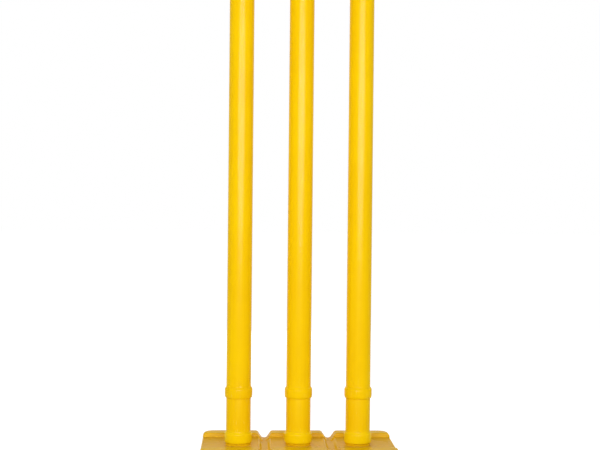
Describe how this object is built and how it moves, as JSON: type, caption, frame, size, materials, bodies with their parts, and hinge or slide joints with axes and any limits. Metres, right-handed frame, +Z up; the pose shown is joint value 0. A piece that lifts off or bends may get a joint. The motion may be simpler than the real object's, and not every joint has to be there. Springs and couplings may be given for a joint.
{
  "type": "cricket stumps",
  "caption": "Cricket wicket of tubular plastic stumps on a moulded base with raised front and rear banks, with bell joints, domed grooved caps and loose bails.",
  "frame": {"origin": "middle of the base's footprint, on the plane of the rubber feet", "axes": "+Z up the stumps, +X along the row of stumps to the right as the picture sees it, +Y away from the camera"},
  "size_m": [0.276, 0.156, 0.7401],
  "materials": {
    "stump_plastic": "smooth yellow extruded plastic, soft gloss",
    "cap_plastic": "yellow moulded plastic, soft gloss",
    "bail_plastic": "yellow moulded plastic, soft gloss",
    "base_plastic": "deep yellow moulded plastic, fine grain, soft gloss",
    "floor_plastic": "deep yellow moulded plastic, matt underside",
    "screw_steel": "zinc-plated steel",
    "foot_rubber": "matt black rubber"
  },
  "bodies": {
    "base": {"base_shell": "base_plastic", "base_floor": "floor_plastic", "floor_screw_1": "screw_steel", "floor_screw_2": "screw_steel", "floor_screw_3": "screw_steel", "floor_screw_4": "screw_steel", "floor_screw_5": "screw_steel", "floor_screw_6": "screw_steel", "rubber_foot_left_front": "foot_rubber", "rubber_foot_right_front": "foot_rubber", "rubber_foot_left_rear": "foot_rubber", "rubber_foot_right_rear": "foot_rubber", "left_socket_tube": "stump_plastic", "middle_socket_tube": "stump_plastic", "right_socket_tube": "stump_plastic"},
    "left_stump": {"left_stump_tube": "stump_plastic", "left_stump_cap": "cap_plastic"},
    "middle_stump": {"middle_stump_tube": "stump_plastic", "middle_stump_cap": "cap_plastic"},
    "right_stump": {"right_stump_tube": "stump_plastic", "right_stump_cap": "cap_plastic"},
    "left_bail": {"left_bail": "bail_plastic"},
    "right_bail": {"right_bail": "bail_plastic"}
  },
  "joints": [
    {"name": "middle_stump_pull", "type": "slide", "parent": "base", "child": "middle_stump", "axis": [0, 0, 1], "range_m": [0, 0.05]},
    {"name": "left_stump_pull", "type": "slide", "parent": "base", "child": "left_stump", "axis": [0, 0, 1], "range_m": [0, 0.05]},
    {"name": "right_stump_pull", "type": "slide", "parent": "base", "child": "right_stump", "axis": [0, 0, 1], "range_m": [0, 0.05]},
    {"name": "left_bail_lift", "type": "slide", "parent": "middle_stump", "child": "left_bail", "axis": [0, 0, 1], "range_m": [0, 0.03]},
    {"name": "right_bail_lift", "type": "slide", "parent": "middle_stump", "child": "right_bail", "axis": [0, 0, 1], "range_m": [0, 0.03]}
  ],
  "couplings": [
    {"joint": "left_stump_pull", "follows": "middle_stump_pull", "ratio": 1},
    {"joint": "right_stump_pull", "follows": "middle_stump_pull", "ratio": 1}
  ]
}
